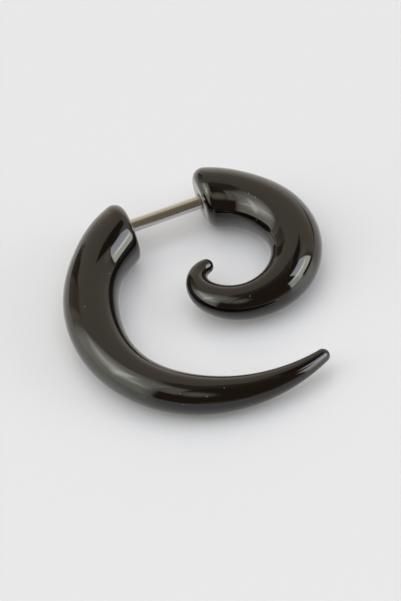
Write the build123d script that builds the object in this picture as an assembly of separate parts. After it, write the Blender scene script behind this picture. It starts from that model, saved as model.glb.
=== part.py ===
from build123d import *
from collections import namedtuple
from math import atan, cos, radians, sin, tan
import os

# A fake-gauge earring: a thin steel post with a black half moon screwed and glued to one
# end and a black curl screwed on to the other. All sizes are in millimetres.
# +X runs along the post from the half moon to the curl and +Z is up. The earring lies on
# its side on Z = 0, with the origin under the middle of its box.

# Steel post
POST_RADIUS = 0.6
LOBE_LENGTH = 6.8
SHOULDER_DEPTH = 0.1
SPIGOT_RADIUS = 0.4
SPIGOT_LENGTH = 2.4
SPIGOT_BEVEL = 0.1

# Flat face and hole of each acrylic half
RIM_ROUND = 1.0
BORE_CLEARANCE = 0.03
BORE_SPARE = 0.3
SINK_RADIUS = 0.85
SINK_DEPTH = 0.3

# Acrylic tubes. Lean is the angle between the post and a tube at its face, turn is how far
# the tube bends from there to its tip, and offset is how far its centre misses the post.
BASE_RADIUS = 2.75
CRESCENT_LENGTH = 37.1
CRESCENT_LEAN = 26.5
CRESCENT_TURN = 174.0
CRESCENT_OFFSET = 0.07
SPIRAL_LENGTH = 27.7
SPIRAL_LEAN = 14.0
SPIRAL_TURN = 338.0
SPIRAL_OFFSET = 0.4

# Block that takes off whatever of a tube is past its face
CUTTER_WIDTH = 3 * BASE_RADIUS
CUTTER_DEPTH = 1.5 * BASE_RADIUS

# The tubes get thinner away from the post, so the earring rocks back until its weight is
# over the line that it lies on.
REST_TILT = 2.1

# along: share of the tube's length. bend: curvature against its mean over the length.
# tube: radius as a share of BASE_RADIUS.
Row = namedtuple("Row", "along bend tube")
CRESCENT_ROWS = [
    Row(0.00, 1.60, 0.94),
    Row(0.06, 0.77, 0.98),
    Row(0.15, 1.23, 0.92),
    Row(0.30, 0.96, 0.90),
    Row(0.50, 1.24, 0.75),
    Row(0.70, 1.05, 0.63),
    Row(0.85, 0.97, 0.45),
    Row(1.00, 0.74, 0.22),
]
SPIRAL_ROWS = [
    Row(0.00, 0.58, 1.02),
    Row(0.15, 0.43, 0.93),
    Row(0.30, 0.59, 0.91),
    Row(0.50, 0.71, 0.81),
    Row(0.70, 0.82, 0.61),
    Row(0.85, 1.18, 0.49),
    Row(1.00, 2.69, 0.24),
]
CRESCENT_SECTION_COUNT = 18
SPIRAL_SECTION_COUNT = 20
SECTION_STEP_COUNT = 12

Station = namedtuple("Station", "x y heading radius")


def smooth(rows, column, along):
    """Read one column at a share of the length, on a smooth curve through the rows."""
    shares = [row.along for row in rows]
    values = [getattr(row, column) for row in rows]
    spans = [b - a for a, b in zip(shares, shares[1:])]
    rises = [(b - a) / span for a, b, span in zip(values, values[1:], spans)]
    slopes = [rises[0]]
    for i in range(1, len(spans)):
        mixed = rises[i - 1] * spans[i] + rises[i] * spans[i - 1]
        slopes.append(mixed / (spans[i - 1] + spans[i]))
    slopes.append(rises[-1])
    i = max(k for k in range(len(spans)) if k == 0 or along >= shares[k])
    t = (along - shares[i]) / spans[i]
    start = (2 * t**3 - 3 * t**2 + 1) * values[i]
    end = (3 * t**2 - 2 * t**3) * values[i + 1]
    leaving = (t**3 - 2 * t**2 + t) * spans[i] * slopes[i]
    arriving = (t**3 - t**2) * spans[i] * slopes[i + 1]
    return start + end + leaving + arriving


def stations(rows, length, turn, sections, x, y, heading):
    """Walk along a tube's centreline in fine steps and keep a station at each section."""
    steps = sections * SECTION_STEP_COUNT
    bends = [smooth(rows, "bend", (i + 0.5) / steps) for i in range(steps)]
    degrees_per_bend = turn / sum(bends)
    kept = [Station(x, y, heading, BASE_RADIUS * rows[0].tube)]
    for i, bend in enumerate(bends):
        half_turn = bend * degrees_per_bend / 2
        x += length / steps * cos(radians(heading + half_turn))
        y += length / steps * sin(radians(heading + half_turn))
        heading += 2 * half_turn
        if (i + 1) % SECTION_STEP_COUNT == 0:
            tube = smooth(rows, "tube", (i + 1) / steps)
            kept.append(Station(x, y, heading, BASE_RADIUS * tube))
    return kept


def tangent(station):
    """Direction of the tube at a station."""
    return Vector(cos(radians(station.heading)), sin(radians(station.heading)), 0)


def lead_in(station, lean):
    """A station straight back from the first, so that the face cut meets a whole tube."""
    reach = station.radius * tan(radians(lean)) + RIM_ROUND
    back = Vector(station.x, station.y, 0) - tangent(station) * reach
    return Station(back.X, back.Y, station.heading, station.radius)


def section(station):
    """The tube's round section, square to its centreline."""
    origin = (station.x, station.y, 0)
    plane = Plane(origin=origin, x_dir=(0, 0, 1), z_dir=tangent(station))
    return plane * Circle(station.radius)


def tip(station, before):
    """A ball that closes the thin end of a tube and touches its taper all round."""
    run = Vector(station.x - before.x, station.y - before.y, 0).length
    taper = atan((before.radius - station.radius) / run)
    ball_radius = station.radius / cos(taper)
    centre = Vector(station.x, station.y, 0) - tangent(station) * ball_radius * sin(taper)
    return Pos(*centre) * Sphere(ball_radius)


def half(walk, lean, face_x, outward):
    """One acrylic half: a tapered tube cut square to the post at its face, with its hole."""
    body = loft([section(station) for station in [lead_in(walk[0], lean)] + walk])
    body += tip(walk[-1], walk[-2])
    outside = Plane(origin=(face_x, walk[0].y, 0), z_dir=(outward, 0, 0))
    bottom = (Align.CENTER, Align.CENTER, Align.MIN)
    body -= outside * Box(CUTTER_WIDTH, CUTTER_WIDTH, CUTTER_DEPTH, align=bottom)
    face = min(body.faces().filter_by(Axis.X), key=lambda flat: abs(flat.center().X - face_x))
    body = fillet(face.edges(), RIM_ROUND)
    inward = Plane(origin=(face_x, 0, 0), z_dir=(-outward, 0, 0))
    bore_radius = SPIGOT_RADIUS + BORE_CLEARANCE
    bore_depth = SHOULDER_DEPTH + SPIGOT_LENGTH + BORE_SPARE
    body -= inward * Cylinder(bore_radius, bore_depth, align=bottom)
    body -= inward * Cone(SINK_RADIUS, bore_radius, SINK_DEPTH, align=bottom)
    return body


def make_crescent():
    """The half moon, which bends round under the post."""
    face_x = -LOBE_LENGTH / 2
    walk = stations(CRESCENT_ROWS, CRESCENT_LENGTH, CRESCENT_TURN, CRESCENT_SECTION_COUNT,
                    face_x, CRESCENT_OFFSET, 180 + CRESCENT_LEAN)
    return half(walk, CRESCENT_LEAN, face_x, 1)


def make_spiral():
    """The curl, which turns the other way and winds in to a small eye."""
    face_x = LOBE_LENGTH / 2
    walk = stations(SPIRAL_ROWS, SPIRAL_LENGTH, -SPIRAL_TURN, SPIRAL_SECTION_COUNT,
                    face_x, SPIRAL_OFFSET, -SPIRAL_LEAN)
    return half(walk, SPIRAL_LEAN, face_x, -1)


def make_post():
    """The steel post: a shaft for the lobe and a thinner bevelled spigot at each end."""
    along = Plane.YZ
    post = along * Cylinder(POST_RADIUS, LOBE_LENGTH + 2 * SHOULDER_DEPTH)
    spigot_ends = LOBE_LENGTH + 2 * (SHOULDER_DEPTH + SPIGOT_LENGTH)
    spigots = along * Cylinder(SPIGOT_RADIUS, spigot_ends)
    ends = spigots.edges().filter_by(GeomType.CIRCLE)
    return post + chamfer(ends, SPIGOT_BEVEL)


def main():
    """Lay the three pieces on the surface that the earring rests on and write them."""
    nodes = {"crescent": make_crescent(), "post": make_post(), "spiral": make_spiral()}
    tilted = {name: Rot(REST_TILT, 0, 0) * piece for name, piece in nodes.items()}
    boxes = [piece.bounding_box() for piece in tilted.values()]
    low = Vector(*(min(tuple(box.min)[k] for box in boxes) for k in range(3)))
    high = Vector(*(max(tuple(box.max)[k] for box in boxes) for k in range(3)))
    middle = (low + high) / 2
    to_rest = Pos(-middle.X, -middle.Y, -low.Z)
    os.makedirs("parts", exist_ok=True)
    for name, piece in tilted.items():
        export_step(to_rest * piece, f"parts/{name}.step")


main()
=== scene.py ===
"""A half moon earring on a pale table, between a curtained window and a clear one.

Lengths are in metres and angles in degrees, unless a comment or a name says otherwise.
Azimuth is 0 behind the earring, at +Y, and 90 to its right, at +X.
"""
from collections import namedtuple
import math

import bmesh
import bpy
import numpy as np
from mathutils import Matrix, Vector


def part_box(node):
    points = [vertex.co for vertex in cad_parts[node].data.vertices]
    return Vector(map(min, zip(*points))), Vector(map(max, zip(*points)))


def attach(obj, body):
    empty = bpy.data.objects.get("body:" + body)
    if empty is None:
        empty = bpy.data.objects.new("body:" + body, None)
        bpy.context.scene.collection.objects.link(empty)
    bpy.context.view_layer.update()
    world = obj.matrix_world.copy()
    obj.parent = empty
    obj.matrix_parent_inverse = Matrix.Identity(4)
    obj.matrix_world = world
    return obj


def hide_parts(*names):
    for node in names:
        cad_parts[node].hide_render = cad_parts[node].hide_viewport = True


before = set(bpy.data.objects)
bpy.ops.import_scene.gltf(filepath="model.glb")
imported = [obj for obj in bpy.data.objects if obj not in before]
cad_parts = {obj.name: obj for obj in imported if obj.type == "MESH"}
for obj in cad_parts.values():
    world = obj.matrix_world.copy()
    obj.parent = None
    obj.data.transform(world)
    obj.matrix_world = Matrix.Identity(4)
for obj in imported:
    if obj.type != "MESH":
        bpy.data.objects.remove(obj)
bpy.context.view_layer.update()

MM = 0.001

# Camera
CAMERA_AIM_MM = (-0.30, -0.57, 2.39)
CAMERA_DISTANCE_MM = 300
CAMERA_AZIMUTH = -168.5
CAMERA_ELEVATION = 48.0
CAMERA_ROLL = -11.1
CAMERA_LENS_MM = 205
CAMERA_SENSOR_MM = 36
CAMERA_NEAR = 0.01
CAMERA_FAR = 10

# Acrylic halves. Their lengths are in millimetres from the middle of the post, with the
# earring as it is before it tips back by REST_TILT to lie on the table. Each half is a round
# tube that starts at a flat face square to the post, and gets thinner as it bends round.
REST_TILT = 2.1
LOBE_LENGTH = 6.8
BASE_RADIUS = 2.75
RIM_ROUND = 1.0
BORE_RADIUS = 0.43
BORE_DEPTH = 2.8
SINK_RADIUS = 0.85
SINK_DEPTH = 0.3

# side: the way along X that the face looks. offset: how far the tube's centre misses the post
# at the face. heading: the tube's direction there, from +X towards +Y. turn: how far the tube
# bends from there to its tip.
Half = namedtuple("Half", "node side offset heading turn length rows")

# along: share of the tube's length. bend: curvature against its mean over the length.
# tube: radius as a share of BASE_RADIUS.
Row = namedtuple("Row", "along bend tube")

HALVES = [
    Half("crescent", 1, 0.07, 206.5, 174.0, 37.1, [
        Row(0.00, 1.60, 0.94),
        Row(0.06, 0.77, 0.98),
        Row(0.15, 1.23, 0.92),
        Row(0.30, 0.96, 0.90),
        Row(0.50, 1.24, 0.75),
        Row(0.70, 1.05, 0.63),
        Row(0.85, 0.97, 0.45),
        Row(1.00, 0.74, 0.22),
    ]),
    Half("spiral", -1, 0.40, -14.0, -338.0, 27.7, [
        Row(0.00, 0.58, 1.02),
        Row(0.15, 0.43, 0.93),
        Row(0.30, 0.59, 0.91),
        Row(0.50, 0.71, 0.81),
        Row(0.70, 0.82, 0.61),
        Row(0.85, 1.18, 0.49),
        Row(1.00, 2.69, 0.24),
    ]),
]

# Mesh of a half: rings of points, from the blind end of its hole to its tip. LEAD_SHARE is
# how far the tube runs on straight behind its face, so that the rim has a whole tube to start
# from. FACE_INSET places a ring that keeps the face flat up to its rim. LEAN_FADE is how soon
# the rings, which lean with the face at first, stand square to the tube.
RING_POINT_COUNT = 112
TUBE_RING_COUNT = 260
RIM_RING_COUNT = 10
TIP_RING_COUNT = 10
WALK_STEP_COUNT = 600
LEAD_SHARE = 0.15
FACE_INSET = 0.98
LEAN_FADE = 3
MERGE_DISTANCE = 1e-7
SHARP_ANGLE = 30

# Room round the table. Each patch covers what is before it in the list. Soft is the share of
# its size over which it fades out. No patch goes past azimuth 180, so what lies there has two.
ROOM_STRENGTH = 0.8
ROOM_COLOUR = (0.20, 0.155, 0.115)
Patch = namedtuple("Patch", "azimuth elevation half_width half_height soft is_round colour")
PATCHES = [
    # Ceiling with a glow on it, the pale wall behind the table and the dark things before it
    Patch(0, 90, 180, 18, 0.5, False, (0.36, 0.30, 0.23)),
    Patch(-146, 53, 26, 19, 0.8, True, (1.5, 1.4, 1.1)),
    Patch(20, 34, 78, 45, 0.15, False, (0.93, 0.83, 0.67)),
    Patch(25, 8, 52, 26, 0.9, True, (1.45, 1.35, 1.15)),
    Patch(75, 76, 60, 10, 0.5, False, (0.34, 0.28, 0.21)),
    Patch(130, 75, 36, 22, 0.2, False, (0.22, 0.18, 0.13)),
    Patch(74, 61, 34, 8, 0.3, False, (0.15, 0.12, 0.09)),
    Patch(86, 44, 14, 16, 0.8, True, (1.2, 1.15, 1.1)),
    Patch(-32, 16, 12, 26, 0.35, False, (0.47, 0.41, 0.32)),
    Patch(-22, 12, 5, 22, 0.4, False, (0.17, 0.13, 0.10)),
    Patch(62, -4, 22, 13, 0.4, True, (0.20, 0.17, 0.14)),
    # Curtained window on the left
    Patch(-124, 58, 10, 22, 0.5, False, (1.5, 1.5, 1.25)),
    Patch(-84, 26, 36, 54, 0.15, False, (1.25, 1.2, 1.0)),
    Patch(-84, 34, 34, 42, 0.35, False, (2.2, 2.2, 1.9)),
    Patch(-82, 37, 34, 26, 1.0, True, (5.2, 5.3, 4.7)),
    Patch(-83, 36, 33, 4, 0.8, False, (6.1, 6.2, 5.5)),
    Patch(-87, 38, 7, 26, 0.9, True, (7.4, 7.5, 6.7)),
    # Low pale thing in front of the table
    Patch(160, 3, 25, 8, 0.5, False, (0.45, 0.38, 0.30)),
    Patch(-165, 3, 20, 8, 0.5, False, (0.45, 0.38, 0.30)),
    # Clear window on the right, with sky in its upper part and a bright ledge across it
    Patch(129, 17, 12, 17, 0.3, False, (4.6, 4.7, 4.4)),
    Patch(110, 30, 16, 22, 0.15, False, (6.2, 6.3, 5.4)),
    Patch(110, 42, 16, 10, 0.25, False, (5.0, 5.2, 5.7)),
    Patch(110, 48, 16, 4, 0.6, False, (4.1, 4.3, 4.8)),
    Patch(117, 28, 22, 4, 0.9, False, (12.3, 12.6, 12.2)),
]

# Wide soft light overhead
FILL_AZIMUTH = -168
FILL_ELEVATION = 84
FILL_DISTANCE = 0.7
FILL_SIZE = 0.9
FILL_POWER = 10.0

# Black acrylic. Its nodes vary the roughness between the two values of ACRYLIC_ROUGHNESS, and
# ACRYLIC_PLAIN_ROUGHNESS is what it has without them. The steel's are alike.
ACRYLIC_COLOUR = (0.0010, 0.0003, 0.0001)
ACRYLIC_PLAIN_ROUGHNESS = 0.03
ACRYLIC_ROUGHNESS = (0.02, 0.06)
ACRYLIC_IOR = 1.58
FILM_SHEEN = 0.25
FILM_ROUGHNESS = 0.3
FILM_TINT = (1.0, 0.97, 0.88)
DUST_COLOUR = (0.10, 0.095, 0.085)
DUST_ROUGHNESS = 0.4
DUST_SPACING = 0.001
DUST_RADIUS = 0.00006
DUST_CORE_SHARE = 0.6
SMEAR_SPACING = 0.004
WAVE_SPACING = 0.003
WAVE_HEIGHT = 0.000012
LINES_PER_MM = 6
LINE_HEIGHT = 0.000001
ROUND_TUBE = "round_tube"

# Steel. The grain's numbers are how often it changes in a metre along X, Y and Z.
STEEL_COLOUR = (0.56, 0.55, 0.52)
STEEL_PLAIN_ROUGHNESS = 0.2
STEEL_ROUGHNESS = (0.14, 0.3)
GRAIN_PER_METRE = (40, 7000, 7000)
GRAIN_HEIGHT = 0.000001

# Table
TABLE_SIZE = 2
TABLE_COLOUR = (0.285, 0.290, 0.313)
TABLE_DARKEST_SHARE = 0.97
TABLE_ROUGHNESS = 0.3
TABLE_SPECULAR = 1.0
# Painted light: the table glows a little by itself, which lifts its shadows and brightens its
# reflection in the acrylic
TABLE_PAINTED_GLOW = (0.13, 0.13, 0.13)
TABLE_SHEEN = 0.4
TABLE_SHEEN_ROUGHNESS = 0.4
MOTTLE_SPACING = 0.0012
MOTTLE_HEIGHT = 0.00001


def smooth(rows, column, along):
    """Read one column at shares of the length, on a smooth curve through the rows."""
    shares = np.array([row.along for row in rows])
    values = np.array([getattr(row, column) for row in rows])
    spans = np.diff(shares)
    rises = np.diff(values) / spans
    mixed = (rises[:-1] * spans[1:] + rises[1:] * spans[:-1]) / (spans[:-1] + spans[1:])
    slopes = np.concatenate([rises[:1], mixed, rises[-1:]])
    i = np.clip(np.searchsorted(shares, along, side="right") - 1, 0, len(spans) - 1)
    t = (along - shares[i]) / spans[i]
    start = (2 * t**3 - 3 * t**2 + 1) * values[i]
    end = (3 * t**2 - 2 * t**3) * values[i + 1]
    leaving = (t**3 - 2 * t**2 + t) * spans[i] * slopes[i]
    arriving = (t**3 - t**2) * spans[i] * slopes[i + 1]
    return start + end + leaving + arriving


class Tube:
    """One acrylic half: its centreline in fine steps, and the rings of points round it."""

    def __init__(self, half):
        self.side = half.side
        self.face_x = -half.side * LOBE_LENGTH / 2
        self.length = half.length
        self.step = half.length / WALK_STEP_COUNT
        lead_steps = round(LEAD_SHARE * WALK_STEP_COUNT)
        bends = smooth(half.rows, "bend", (np.arange(WALK_STEP_COUNT) + 0.5) / WALK_STEP_COUNT)
        turns = np.zeros(lead_steps + WALK_STEP_COUNT + 1)
        turns[lead_steps + 1:] = np.radians(half.turn) * bends / bends.sum()
        self.heading = np.radians(half.heading) + np.cumsum(turns)
        middles = (self.heading[1:] + self.heading[:-1]) / 2
        moves = self.step * np.stack([np.cos(middles), np.sin(middles)], axis=1)
        path = np.zeros((len(turns), 2))
        path[1:] = np.cumsum(moves, axis=0)
        self.path = path - path[lead_steps] + (self.face_x, half.offset)
        self.along = self.step * (np.arange(len(turns)) - lead_steps)
        lead = half.rows[0]._replace(along=-LEAD_SHARE)
        self.radius = BASE_RADIUS * smooth([lead] + half.rows, "tube", self.along / half.length)
        self.angles = 2 * np.pi * np.arange(RING_POINT_COUNT) / RING_POINT_COUNT

    def at(self, values, along):
        """Read values that are known at each step at other places along the centreline."""
        return np.interp(along, self.along, values)

    def forward(self, along):
        """Directions of the centreline."""
        heading = self.at(self.heading, along)
        return np.stack([np.cos(heading), np.sin(heading), 0 * heading], axis=1)

    def outward(self, along):
        """Directions from the centreline to a ring's points, each at its own place along."""
        heading = self.at(self.heading, along)
        level = np.stack([-np.sin(heading), np.cos(heading), 0 * heading], axis=1)
        return np.cos(self.angles)[:, None] * level + np.sin(self.angles)[:, None] * (0, 0, 1)

    def ring(self, along, inset=0.0):
        """A ring on the tube's surface, or inside it by inset."""
        centre = np.stack([self.at(self.path[:, 0], along), self.at(self.path[:, 1], along),
                           0 * along], axis=1)
        reach = self.at(self.radius, along) - inset
        return centre + reach[:, None] * self.outward(along)

    def rim_starts(self):
        """Where a ball of radius RIM_ROUND touches both the face and each line of the tube."""
        near = self.along < self.length / 2
        level = -np.sin(self.heading[near]) * np.cos(self.angles)[:, None]
        ball_x = self.path[near, 0] + (self.radius[near] - RIM_ROUND) * level
        clear = self.side * (ball_x - self.face_x) + RIM_ROUND
        last = np.argmax(clear <= 0, axis=1)
        lines = np.arange(RING_POINT_COUNT)
        share = clear[lines, last - 1] / (clear[lines, last - 1] - clear[lines, last])
        return self.along[last - 1] + share * self.step

    def hole_circle(self, radius, depth):
        """A circle round the post, whose points follow one another as a ring's do."""
        handed = np.sign(np.cos(self.heading[0]))
        x = np.full(RING_POINT_COUNT, self.face_x - self.side * depth)
        return np.stack([x, handed * radius * np.cos(self.angles),
                         radius * np.sin(self.angles)], axis=1)

    def hole_rings(self):
        """From the blind end of the hole to the edge of its countersink."""
        corners = [(0, BORE_DEPTH), (BORE_RADIUS, BORE_DEPTH), (BORE_RADIUS, SINK_DEPTH),
                   (SINK_RADIUS, 0)]
        return [self.hole_circle(radius, depth) for radius, depth in corners]

    def rim_rings(self, starts):
        """From the flat face round its rim to the tube."""
        balls = self.ring(starts, RIM_ROUND)
        slope = self.at(np.gradient(self.radius, self.along), starts)
        from_tube = self.outward(starts) - slope[:, None] * self.forward(starts)
        from_tube /= np.linalg.norm(from_tube, axis=1, keepdims=True)
        from_face = np.zeros_like(from_tube) + (self.side, 0, 0)
        corner = np.arccos(np.sum(from_tube * from_face, axis=1))[:, None]
        outline = balls + RIM_ROUND * from_face
        middle = outline.mean(axis=0)
        rings = [middle + FACE_INSET * (outline - middle)]
        for share in np.linspace(0, 1, RIM_RING_COUNT + 1):
            mixed = np.sin((1 - share) * corner) * from_face + np.sin(share * corner) * from_tube
            rings.append(balls + RIM_ROUND * mixed / np.sin(corner))
        return rings

    def tube_rings(self, starts):
        """From the rim to the end of the taper."""
        shares = np.arange(1, TUBE_RING_COUNT + 1) / TUBE_RING_COUNT
        return [self.ring(share * self.length + starts * (1 - share) ** LEAN_FADE)
                for share in shares]

    def tip_rings(self):
        """Over the ball that closes the tip and touches the taper all round."""
        end = np.full(RING_POINT_COUNT, self.length)
        taper = np.arctan((self.radius[-2] - self.radius[-1]) / self.step)
        ball = self.radius[-1] / np.cos(taper)
        middle = self.ring(end, self.radius[-1]) - ball * np.sin(taper) * self.forward(end)
        rings = []
        for share in np.arange(1, TIP_RING_COUNT + 1) / TIP_RING_COUNT:
            angle = taper + share * (np.pi / 2 - taper)
            reach = np.sin(angle) * self.forward(end) + np.cos(angle) * self.outward(end)
            rings.append(middle + ball * reach)
        return rings

    def rings(self):
        """All rings, from the blind end of the hole to the tip."""
        starts = self.rim_starts()
        return (self.hole_rings() + self.rim_rings(starts) + self.tube_rings(starts)
                + self.tip_rings())


def add_object(name, data):
    """Put a new object in the scene."""
    added = bpy.data.objects.new(name, data)
    bpy.context.scene.collection.objects.link(added)
    return added


def ring_quads(ring_count):
    """Faces that join each ring to the next, as four point numbers each."""
    quads = []
    for ring in range(ring_count - 1):
        near = ring * RING_POINT_COUNT
        far = near + RING_POINT_COUNT
        for i in range(RING_POINT_COUNT):
            following = (i + 1) % RING_POINT_COUNT
            quads.append((near + i, near + following, far + following, far + i))
    return quads


def mark_tube(mesh, ring_count, length):
    """Keep on each point its place along and round the tube, for the lines polished round it."""
    along = np.repeat(np.linspace(0, length * LINES_PER_MM, ring_count), RING_POINT_COUNT)
    angles = np.tile(2 * np.pi * np.arange(RING_POINT_COUNT) / RING_POINT_COUNT, ring_count)
    places = np.stack([along, np.cos(angles), np.sin(angles)], axis=1)
    mesh.attributes.new(ROUND_TUBE, "FLOAT_VECTOR", "POINT").data.foreach_set(
        "vector", places.ravel())


def lay_down(mesh):
    """Take a half from its own millimetres to its place on the table."""
    low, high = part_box("post")
    post_middle = (Vector(low) + Vector(high)) / 2
    tip_back = Matrix.Rotation(math.radians(REST_TILT), 4, "X")
    mesh.transform(Matrix.Translation(post_middle) @ tip_back @ Matrix.Scale(MM, 4))


def close_up(mesh):
    """Merge the points that meet at each end, and face every side outward."""
    shaped = bmesh.new()
    shaped.from_mesh(mesh)
    bmesh.ops.remove_doubles(shaped, verts=shaped.verts, dist=MERGE_DISTANCE)
    bmesh.ops.recalc_face_normals(shaped, faces=shaped.faces)
    shaped.to_mesh(mesh)
    shaped.free()


def make_half(half, material):
    """A dense mesh of one acrylic half, in place of its node."""
    rings = np.array(Tube(half).rings())
    mesh = bpy.data.meshes.new(half.node)
    mesh.from_pydata(rings.reshape(-1, 3), [], ring_quads(len(rings)))
    mark_tube(mesh, len(rings), half.length)
    lay_down(mesh)
    close_up(mesh)
    mesh.shade_smooth()
    mesh.set_sharp_from_angle(angle=math.radians(SHARP_ANGLE))
    mesh.materials.append(material)
    piece = add_object(f"polished_{half.node}", mesh)
    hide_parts(half.node)
    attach(piece, f"{half.node}_half")


def towards(azimuth, elevation):
    """Direction from the table to a place round it."""
    azimuth, elevation = math.radians(azimuth), math.radians(elevation)
    return Vector((math.sin(azimuth) * math.cos(elevation),
                   math.cos(azimuth) * math.cos(elevation), math.sin(elevation)))


def make_camera():
    """A long lens that looks down at the earring from in front, a little to the left."""
    data = bpy.data.cameras.new("camera")
    data.lens = CAMERA_LENS_MM
    data.sensor_width = CAMERA_SENSOR_MM
    data.clip_start = CAMERA_NEAR
    data.clip_end = CAMERA_FAR
    camera = add_object("camera", data)
    back = towards(CAMERA_AZIMUTH, CAMERA_ELEVATION)
    level = (-back).to_track_quat("-Z", "Y").to_matrix()
    turned = Matrix.Rotation(math.radians(CAMERA_ROLL), 3, back) @ level
    place = (Vector(CAMERA_AIM_MM) + back * CAMERA_DISTANCE_MM) * MM
    camera.matrix_world = Matrix.Translation(place) @ turned.to_4x4()
    bpy.context.scene.camera = camera


def make_fill():
    """The wide soft light overhead, which the gloss doesn't mirror."""
    light = bpy.data.lights.new("overhead_fill", "AREA")
    light.size = FILL_SIZE
    light.energy = FILL_POWER
    fill = add_object("overhead_fill", light)
    away = towards(FILL_AZIMUTH, FILL_ELEVATION)
    fill.location = away * FILL_DISTANCE
    fill.rotation_euler = away.to_track_quat("Z", "Y").to_euler()
    fill.visible_glossy = False
    fill.visible_camera = False


class Nodes:
    """Short ways to add and join nodes in one tree."""

    def __init__(self, tree):
        self.tree = tree

    def add(self, kind, **settings):
        """A new node with these settings."""
        node = self.tree.nodes.new(kind)
        for name, value in settings.items():
            setattr(node, name, value)
        return node

    def put(self, socket, value):
        """Set a socket to a value, or link it to another node's output."""
        if isinstance(value, bpy.types.NodeSocket):
            self.tree.links.new(value, socket)
        else:
            socket.default_value = value

    def object_place(self):
        """Place on the object, in metres."""
        return self.add("ShaderNodeTexCoord").outputs["Object"]

    def math(self, operation, *values):
        """One step of arithmetic."""
        node = self.add("ShaderNodeMath", operation=operation)
        for socket, value in zip(node.inputs, values):
            self.put(socket, value)
        return node.outputs[0]

    def from_middle(self, value, middle, half_size):
        """How far a value is from a middle one: -1 and 1 are half_size away."""
        return self.math("DIVIDE", self.math("SUBTRACT", value, middle), half_size)

    def mix(self, share, first, second):
        """The first colour at share 0, the second at 1. Each is a colour or an output."""
        node = self.add("ShaderNodeMix", data_type="RGBA")
        self.put(node.inputs["Factor"], share)
        self.put(node.inputs["A"], first)
        self.put(node.inputs["B"], second)
        return node.outputs["Result"]

    def fade(self, value, start, end):
        """0 at start, 1 at end, smooth between."""
        node = self.add("ShaderNodeMapRange", interpolation_type="SMOOTHSTEP")
        self.put(node.inputs["Value"], value)
        self.put(node.inputs["From Min"], start)
        self.put(node.inputs["From Max"], end)
        return node.outputs[0]

    def between(self, share, low, high):
        """Low at share 0, high at 1, straight between."""
        node = self.add("ShaderNodeMapRange")
        self.put(node.inputs["Value"], share)
        self.put(node.inputs["To Min"], low)
        self.put(node.inputs["To Max"], high)
        return node.outputs[0]

    def noise(self, place, scale, detail):
        """Random clouds, from about 0 to about 1."""
        node = self.add("ShaderNodeTexNoise")
        self.put(node.inputs["Vector"], place)
        self.put(node.inputs["Scale"], scale)
        self.put(node.inputs["Detail"], detail)
        return node.outputs["Fac"]

    def bump(self, height, full_height, normal=None):
        """Normals of a surface raised by height, on top of other normals if given."""
        node = self.add("ShaderNodeBump")
        self.put(node.inputs["Height"], height)
        self.put(node.inputs["Distance"], full_height)
        if normal:
            self.put(node.inputs["Normal"], normal)
        return node.outputs[0]


def opaque(colour):
    """A colour with full alpha, as sockets take it."""
    return (*colour, 1)


def make_world():
    """The room, as patches of light and dark laid over one another."""
    world = bpy.data.worlds.new("room")
    world.use_nodes = True
    nodes = Nodes(world.node_tree)
    xyz = nodes.add("ShaderNodeSeparateXYZ")
    nodes.put(xyz.inputs[0], nodes.add("ShaderNodeTexCoord").outputs["Generated"])
    azimuth = nodes.math("DEGREES", nodes.math("ARCTAN2", xyz.outputs["X"], xyz.outputs["Y"]))
    elevation = nodes.math("DEGREES", nodes.math("ARCSINE", xyz.outputs["Z"]))
    colour = opaque(ROOM_COLOUR)
    for patch in PATCHES:
        across = nodes.from_middle(azimuth, patch.azimuth, patch.half_width)
        up = nodes.from_middle(elevation, patch.elevation, patch.half_height)
        if patch.is_round:
            squares = nodes.math("ADD", nodes.math("POWER", across, 2), nodes.math("POWER", up, 2))
            out = nodes.math("SQRT", squares)
        else:
            out = nodes.math("MAXIMUM", nodes.math("ABSOLUTE", across), nodes.math("ABSOLUTE", up))
        cover = nodes.fade(out, 1, 1 - patch.soft)
        colour = nodes.mix(cover, colour, opaque(patch.colour))
    background = world.node_tree.nodes["Background"]
    nodes.put(background.inputs["Strength"], ROOM_STRENGTH)
    nodes.put(background.inputs["Color"], colour)
    bpy.context.scene.world = world


def start_material(name, colour, roughness):
    """A material of one colour and roughness, its nodes, and the sockets of its surface."""
    material = bpy.data.materials.new(name)
    material.use_nodes = True
    nodes = Nodes(material.node_tree)
    surface = material.node_tree.nodes["Principled BSDF"].inputs
    nodes.put(surface["Base Color"], opaque(colour))
    nodes.put(surface["Roughness"], roughness)
    return material, nodes, surface


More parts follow.
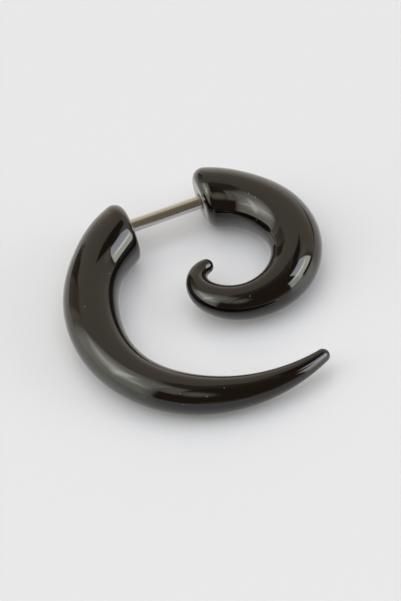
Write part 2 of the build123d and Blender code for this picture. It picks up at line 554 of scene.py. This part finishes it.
def make_acrylic():
    """Polished black: slow waves, fine polishing lines round the tube and a few dust specks."""
    material, nodes, surface = start_material("acrylic", ACRYLIC_COLOUR, ACRYLIC_PLAIN_ROUGHNESS)
    nodes.put(surface["IOR"], ACRYLIC_IOR)
    nodes.put(surface["Sheen Weight"], FILM_SHEEN)
    nodes.put(surface["Sheen Roughness"], FILM_ROUGHNESS)
    nodes.put(surface["Sheen Tint"], opaque(FILM_TINT))
    place = nodes.object_place()
    dust = nodes.add("ShaderNodeTexVoronoi")
    nodes.put(dust.inputs["Vector"], place)
    nodes.put(dust.inputs["Scale"], 1 / DUST_SPACING)
    reach = DUST_RADIUS / DUST_SPACING
    speck = nodes.fade(dust.outputs["Distance"], reach, DUST_CORE_SHARE * reach)
    dusty = nodes.mix(speck, opaque(ACRYLIC_COLOUR), opaque(DUST_COLOUR))
    nodes.put(surface["Base Color"], dusty)
    smear = nodes.noise(place, 1 / SMEAR_SPACING, detail=3)
    polish = nodes.between(smear, *ACRYLIC_ROUGHNESS)
    dulled = nodes.math("MULTIPLY", speck, DUST_ROUGHNESS)
    nodes.put(surface["Roughness"], nodes.math("ADD", polish, dulled))
    waves = nodes.bump(nodes.noise(place, 1 / WAVE_SPACING, detail=1), WAVE_HEIGHT)
    round_tube = nodes.add("ShaderNodeAttribute", attribute_name=ROUND_TUBE).outputs["Vector"]
    lines = nodes.noise(round_tube, 1, detail=2)
    nodes.put(surface["Normal"], nodes.bump(lines, LINE_HEIGHT, waves))
    return material


def make_steel():
    """Drawn steel rod, with its grain along X."""
    material, nodes, surface = start_material("steel", STEEL_COLOUR, STEEL_PLAIN_ROUGHNESS)
    nodes.put(surface["Metallic"], 1)
    stretch = nodes.add("ShaderNodeMapping")
    nodes.put(stretch.inputs["Vector"], nodes.object_place())
    nodes.put(stretch.inputs["Scale"], GRAIN_PER_METRE)
    grain = nodes.noise(stretch.outputs["Vector"], 1, detail=1)
    nodes.put(surface["Roughness"], nodes.between(grain, *STEEL_ROUGHNESS))
    nodes.put(surface["Normal"], nodes.bump(grain, GRAIN_HEIGHT))
    return material


def make_table():
    """Smooth pale board with faint mottling, and a faint painted glow of its own that lifts the
    shade on it.
    """
    material, nodes, surface = start_material("table", TABLE_COLOUR, TABLE_ROUGHNESS)
    nodes.put(surface["Specular IOR Level"], TABLE_SPECULAR)
    nodes.put(surface["Sheen Weight"], TABLE_SHEEN)
    nodes.put(surface["Sheen Roughness"], TABLE_SHEEN_ROUGHNESS)
    # Painted light: a faint even glow on the table, standing in for fill light under and around
    # the earring
    nodes.put(surface["Emission Color"], opaque(TABLE_PAINTED_GLOW))
    nodes.put(surface["Emission Strength"], 1)
    mottle = nodes.noise(nodes.object_place(), 1 / MOTTLE_SPACING, detail=4)
    darkest = [TABLE_DARKEST_SHARE * value for value in TABLE_COLOUR]
    nodes.put(surface["Base Color"], nodes.mix(mottle, opaque(darkest), opaque(TABLE_COLOUR)))
    nodes.put(surface["Normal"], nodes.bump(mottle, MOTTLE_HEIGHT))
    return material


def make_floor():
    """The table's top, which the earring lies on."""
    bpy.ops.mesh.primitive_plane_add(size=TABLE_SIZE)
    floor = bpy.context.object
    floor.name = "floor"
    floor.data.materials.append(make_table())


make_camera()
make_world()
make_fill()
acrylic = make_acrylic()
for half in HALVES:
    make_half(half, acrylic)
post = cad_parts["post"]
post.data.materials.clear()
post.data.materials.append(make_steel())
make_floor()
bpy.context.scene.view_settings.view_transform = "Standard"
